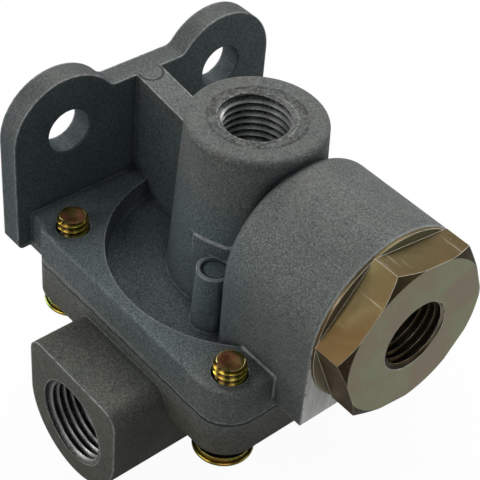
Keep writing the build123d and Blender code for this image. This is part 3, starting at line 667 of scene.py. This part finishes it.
def prism(name, low_outline, high_outline, low_z, high_z):
    """A solid between two outlines of as many points, for cutting."""
    made = bmesh.new()
    low = [made.verts.new(Vector((px, py, low_z)) * MM) for px, py in low_outline]
    high = [made.verts.new(Vector((px, py, high_z)) * MM) for px, py in high_outline]
    made.faces.new(low[::-1])
    made.faces.new(high)
    for i in range(len(low)):
        j = (i + 1) % len(low)
        made.faces.new((low[i], low[j], high[j], high[i]))
    bmesh.ops.recalc_face_normals(made, faces=made.faces)
    mesh = bpy.data.meshes.new(name)
    made.to_mesh(mesh)
    made.free()
    made_object = bpy.data.objects.new(name, mesh)
    bpy.context.scene.collection.objects.link(made_object)
    return made_object


def column_outline(side, radius):
    """What lies outside a round column, between it and the drum's rounded back corner."""
    corner_x, corner_y, corner_radius, clear = 48.2, 13.9, 2.8, 0.02
    end_x, outside = 49.8, 18.6
    points = []
    for i in range(15):
        angle = math.radians(90 - 74 * i / 14)
        points.append((COLUMN_X + radius * math.cos(angle), COLUMN_Y + radius * math.sin(angle)))
    for i in range(11):
        angle = math.radians(20 + 70 * i / 10)
        reach = corner_radius + clear
        points.append((corner_x - reach * math.cos(angle), corner_y + reach * math.sin(angle)))
    points += [(end_x, corner_y + corner_radius + clear), (end_x, outside), (COLUMN_X, outside)]
    return [(px, side * py) for px, py in points]


def round_columns():
    """The upper casting with fully round ejector-pin columns beside the boss."""
    source = nodes["valve_body"]
    made = bpy.data.objects.new("valve_casting", source.data.copy())
    made.matrix_world = source.matrix_world.copy()
    bpy.context.scene.collection.objects.link(made)
    floor_z, draft = -19.1, math.tan(math.radians(2.0))
    cutters = []
    for side in (-1, 1):
        low_radius = 3.3 + (COLUMN_TOP_Z - floor_z) * draft
        high_radius = 3.3 - 0.3 * draft
        low = column_outline(side, low_radius)
        high = column_outline(side, high_radius)
        cutters.append(prism("cutter", low, high, floor_z + 0.02, COLUMN_TOP_Z + 0.3))
    boolean(made, cutters)
    made.data.materials.clear()
    made.data.materials.append(cast_alloy)
    keep_edges_sharp(made)
    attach(made, "valve")
    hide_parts("valve_body")
    return made


round_columns()


def diaphragm_spring():
    """The spring as a piece with its own mesh, which rides on the valve."""
    source = nodes["diaphragm_spring"]
    made = bpy.data.objects.new("squashing_spring", source.data.copy())
    made.matrix_world = source.matrix_world.copy()
    bpy.context.scene.collection.objects.link(made)
    keep_edges_sharp(made)
    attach(made, "valve")
    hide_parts("diaphragm_spring")
    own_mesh(made)


diaphragm_spring()

for node in nodes.values():
    keep_edges_sharp(node)


# ---------------------------------------------------------------- stage, light and camera
def plain_material(name, colour, seen_white):
    """A pale surface; the camera sees part of it as plain white."""
    made = bpy.data.materials.new(name)
    made.use_nodes = True
    tree = made.node_tree
    tree.nodes.clear()
    output = tree.nodes.new("ShaderNodeOutputMaterial")
    diffuse = tree.nodes.new("ShaderNodeBsdfDiffuse")
    diffuse.inputs["Color"].default_value = (*colour, 1)
    white = tree.nodes.new("ShaderNodeEmission")
    white.inputs["Strength"].default_value = 1.06
    path = tree.nodes.new("ShaderNodeLightPath")
    mixed = tree.nodes.new("ShaderNodeMixShader")
    share = tree.nodes.new("ShaderNodeMath")
    share.operation = "MULTIPLY"
    share.inputs[1].default_value = seen_white
    tree.links.new(path.outputs["Is Camera Ray"], share.inputs[0])
    tree.links.new(share.outputs[0], mixed.inputs[0])
    tree.links.new(diffuse.outputs[0], mixed.inputs[1])
    tree.links.new(white.outputs[0], mixed.inputs[2])
    tree.links.new(mixed.outputs[0], output.inputs["Surface"])
    return made


floor_mesh = bpy.data.meshes.new("floor")
reach = 1.5
floor_z = cad_low.z - 0.0001
floor_mesh.from_pydata([(-reach, -reach, floor_z), (reach, -reach, floor_z), (reach, reach, floor_z), (-reach, reach, floor_z)], [], [(0, 1, 2, 3)])
floor = bpy.data.objects.new("floor", floor_mesh)
bpy.context.scene.collection.objects.link(floor)
floor.data.materials.append(plain_material("pale_floor", (0.45, 0.45, 0.45), 0.9))

world = bpy.data.worlds.new("studio")
bpy.context.scene.world = world
world.use_nodes = True
tree = world.node_tree
tree.nodes.clear()
output = tree.nodes.new("ShaderNodeOutputWorld")
dim = tree.nodes.new("ShaderNodeBackground")
dim.inputs["Color"].default_value = (0.70, 0.85, 1.0, 1)
dim.inputs["Strength"].default_value = 0.12
white = tree.nodes.new("ShaderNodeBackground")
white.inputs["Color"].default_value = (1, 1, 1, 1)
path = tree.nodes.new("ShaderNodeLightPath")
mixed = tree.nodes.new("ShaderNodeMixShader")
tree.links.new(path.outputs["Is Camera Ray"], mixed.inputs[0])
tree.links.new(dim.outputs[0], mixed.inputs[1])
tree.links.new(white.outputs[0], mixed.inputs[2])
tree.links.new(mixed.outputs[0], output.inputs["Surface"])

centre = (cad_low + cad_high) / 2


def soft_light(name, azimuth, elevation, power, size=0.5, colour=(1, 1, 1), away=0.7):
    """A round soft light that faces the object. Azimuth 0 is on +X, 90 on +Y."""
    a, e = math.radians(azimuth), math.radians(elevation)
    offset = Vector((math.cos(a) * math.cos(e), math.sin(a) * math.cos(e), math.sin(e))) * away
    lamp = bpy.data.lights.new(name, "AREA")
    lamp.shape = "DISK"
    lamp.size = size
    lamp.energy = power
    lamp.color = colour
    made = bpy.data.objects.new(name, lamp)
    made.location = centre + offset
    made.rotation_euler = (-offset).to_track_quat("-Z", "Y").to_euler()
    bpy.context.scene.collection.objects.link(made)


soft_light("back", 155, 44, 2.9)
soft_light("right_low", 92, 12, 1.2, 0.4)
soft_light("right_high", 95, 52, 1.3, 0.4)
soft_light("left_back", -145, 12, 1.8, 0.4)
soft_light("left", -100, 32, 1.3, 0.4)
soft_light("front_high", -32, 40, 0.7, 0.35)
soft_light("front_right", 32, 8, 0.5, 0.35)

camera_data = bpy.data.cameras.new("camera")
camera_data.sensor_width = 36.0
camera_data.lens = 1384.514 / 480 * 36.0
camera_data.clip_start, camera_data.clip_end = 0.01, 10.0
camera = bpy.data.objects.new("camera", camera_data)
bpy.context.scene.collection.objects.link(camera)
azimuth, elevation, roll = (math.radians(a) for a in (-44.2315, 41.9359, 5.7545))
back = Vector((math.cos(azimuth) * math.cos(elevation), math.sin(azimuth) * math.cos(elevation), math.sin(elevation)))
target = Vector((32.456, 0.221, -15.1)) * MM
right = (-back).cross(Vector((0, 0, 1))).normalized()
up = right.cross(-back)
turned_right = right * math.cos(roll) + up * math.sin(roll)
turned_up = up * math.cos(roll) - right * math.sin(roll)
camera.matrix_world = Matrix.Translation(target + back * 0.251366) @ Matrix((turned_right, turned_up, back)).transposed().to_4x4()
bpy.context.scene.camera = camera
bpy.context.scene.view_settings.view_transform = "Standard"
